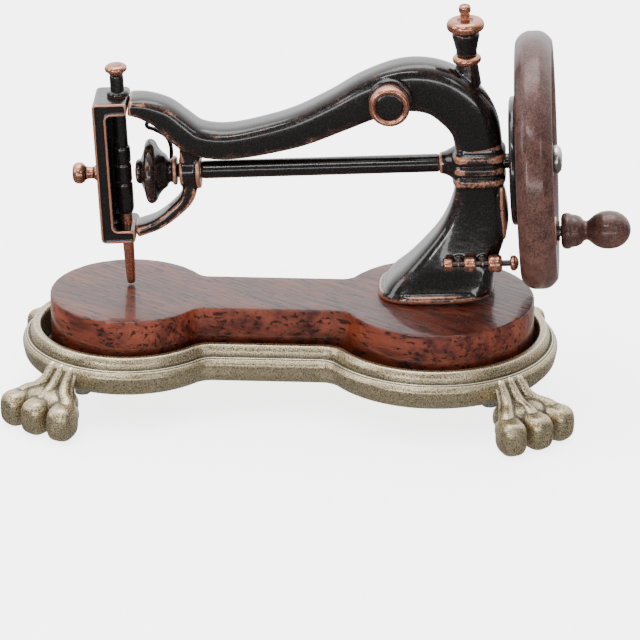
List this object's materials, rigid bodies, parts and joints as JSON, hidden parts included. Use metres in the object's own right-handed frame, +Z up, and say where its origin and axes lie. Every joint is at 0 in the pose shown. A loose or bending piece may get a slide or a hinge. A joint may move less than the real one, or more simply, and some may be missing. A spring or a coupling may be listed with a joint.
{
  "type": "sewing machine",
  "caption": "Miniature hand-crank sewing machine: harp arm and column on a fiddle-shaped wooden block in a brass tray with claw feet, slotted hand wheel with an egg grip.",
  "frame": {"origin": "centre of the object's outline in plan, on the surface that it stands on", "axes": "+X from the needle end to the hand wheel, +Y to the back, +Z up"},
  "size_m": [0.0805, 0.043, 0.0531],
  "materials": {
    "blackened_casting": "antiqued, semi-gloss, copper at the worn edges",
    "worn_copper": "antiqued copper plate, rubbed bright at the edges",
    "mottled_copper": "antiqued copper plate, red-brown and speckled",
    "antique_brass": "satin antiqued brass, darker in the hollows",
    "red_lacquered_wood": "glossy clear lacquer over red stain with dark pores",
    "nickel_screw": "dull nickel plate"
  },
  "bodies": {
    "base_and_head": {"column_casting": "blackened_casting", "arm_lock_screw": "nickel_screw", "rear_bushing": "antique_brass", "arm_casting": "blackened_casting", "front_bushing": "antique_brass", "face_frame": "blackened_casting", "face_screw_upper": "nickel_screw", "face_screw_lower": "nickel_screw", "upper_guide_bush": "worn_copper", "lower_guide_bush": "worn_copper", "thread_hook": "blackened_casting", "tension_stud": "worn_copper", "tension_flange": "worn_copper", "tension_barrel": "blackened_casting", "side_knob_ring": "blackened_casting", "side_knob_stem": "nickel_screw", "base_screw_left": "nickel_screw", "base_screw_waist": "nickel_screw", "column_screw_left": "nickel_screw", "column_screw_right": "nickel_screw", "base_tray": "antique_brass", "claw_foot_front_left": "antique_brass", "foot_screw_front_left": "nickel_screw", "claw_foot_front_right": "antique_brass", "foot_screw_front_right": "nickel_screw", "claw_foot_rear_left": "antique_brass", "foot_screw_rear_left": "nickel_screw", "claw_foot_rear_right": "antique_brass", "foot_screw_rear_right": "nickel_screw", "wood_block": "red_lacquered_wood"},
    "drive_shaft": {"main_shaft": "blackened_casting", "drive_disc": "blackened_casting", "hand_wheel": "mottled_copper", "hub_plate": "blackened_casting", "wheel_washer": "blackened_casting", "wheel_screw": "nickel_screw", "crank_pin": "blackened_casting"},
    "crank_handle": {"crank_grip": "mottled_copper"},
    "needle_assembly": {"needle_bar": "blackened_casting", "needle_clamp": "worn_copper", "needle": "worn_copper", "needle_bar_button": "worn_copper"},
    "tension_nut": {"thumb_nut": "worn_copper"},
    "side_dial": {"side_knob": "worn_copper"},
    "presser_screw": {"pressure_screw": "worn_copper"},
    "bobbin_winder": {"winder_spindle": "blackened_casting", "winder_collar": "worn_copper", "winder_bobbin": "worn_copper", "winder_pulley": "worn_copper", "winder_tyre": "worn_copper"}
  },
  "joints": [
    {"name": "wheel_turn", "type": "hinge", "parent": "base_and_head", "child": "drive_shaft", "pos_m": [0.01458, 0.0009, 0.03132], "axis": [0.9986, 0, 0.0523], "continuous": true},
    {"name": "crank_grip_turn", "type": "hinge", "parent": "drive_shaft", "child": "crank_handle", "pos_m": [0.0151, 0.0009, 0.02134], "axis": [0.9986, 0, 0.0523], "continuous": true},
    {"name": "needle_slide", "type": "slide", "parent": "base_and_head", "child": "needle_assembly", "axis": [-0.0523, 0, 0.9986], "range_m": [0, 0.005]},
    {"name": "thumb_nut_turn", "type": "hinge", "parent": "base_and_head", "child": "tension_nut", "pos_m": [0.02041, 0.0009, 0.01371], "axis": [-0.0523, 0, 0.9986], "range_deg": [-180, 180]},
    {"name": "side_knob_turn", "type": "hinge", "parent": "base_and_head", "child": "side_dial", "pos_m": [0.00911, 0.0009, 0.04115], "axis": [0, 1, 0], "range_deg": [-90, 90]},
    {"name": "pressure_screw_turn", "type": "hinge", "parent": "base_and_head", "child": "presser_screw", "pos_m": [0.01458, 0.0009, 0.03132], "axis": [0.9986, 0, 0.0523], "range_deg": [-180, 180]},
    {"name": "winder_turn", "type": "hinge", "parent": "base_and_head", "child": "bobbin_winder", "pos_m": [0.01522, -0.004, 0.01914], "axis": [0.9986, 0, 0.0523], "continuous": true}
  ]
}
